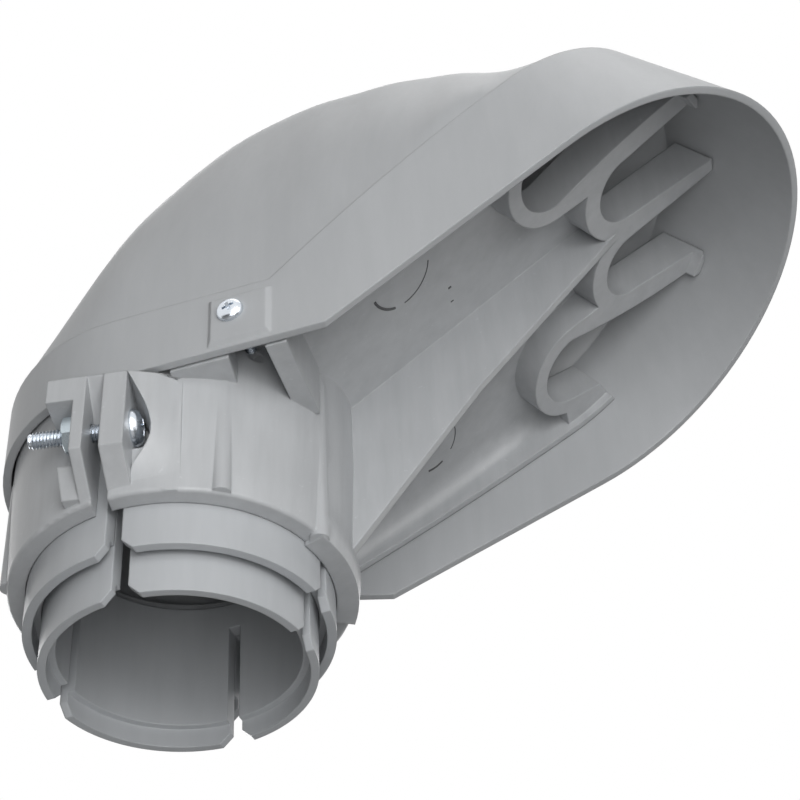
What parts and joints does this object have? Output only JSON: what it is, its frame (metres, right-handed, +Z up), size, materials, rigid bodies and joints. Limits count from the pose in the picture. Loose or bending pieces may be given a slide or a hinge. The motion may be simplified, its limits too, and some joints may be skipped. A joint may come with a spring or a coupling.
{
  "type": "service entrance weatherhead",
  "caption": "Hooded conduit cap with a split clamp collar, nested reducer rings and a comb of conductor slots under a rain hood.",
  "frame": {"origin": "on the conduit axis in the plane of the collar's lower rim, inside the inner ring's bore", "axes": "+Z up the conduit, +X forward to the mouth of the hood, clamp ears on the -Y side"},
  "size_m": [0.3311, 0.2006, 0.2832],
  "materials": {
    "body_pvc": "fine moulded grain",
    "cover_pvc": "satin moulded",
    "outer_reducer_pvc": "satin moulded",
    "inner_reducer_pvc": "satin moulded",
    "clamp_screw_zinc": "bright zinc plated",
    "clamp_nut_zinc": "bright zinc plated",
    "cover_screw_zinc": "bright zinc plated"
  },
  "bodies": {
    "housing": {"body": "body_pvc", "cover": "cover_pvc", "outer_reducer": "outer_reducer_pvc", "inner_reducer": "inner_reducer_pvc", "clamp_nut": "clamp_nut_zinc", "cover_screw_left": "cover_screw_zinc", "cover_screw_right": "cover_screw_zinc"},
    "clamp_screw": {"clamp_screw": "clamp_screw_zinc"}
  },
  "joints": [
    {"name": "clamp_screw_turn", "type": "hinge", "parent": "housing", "child": "clamp_screw", "pos_m": [-0.01, -0.066, 0.02905], "axis": [1, 0, 0], "continuous": true}
  ]
}
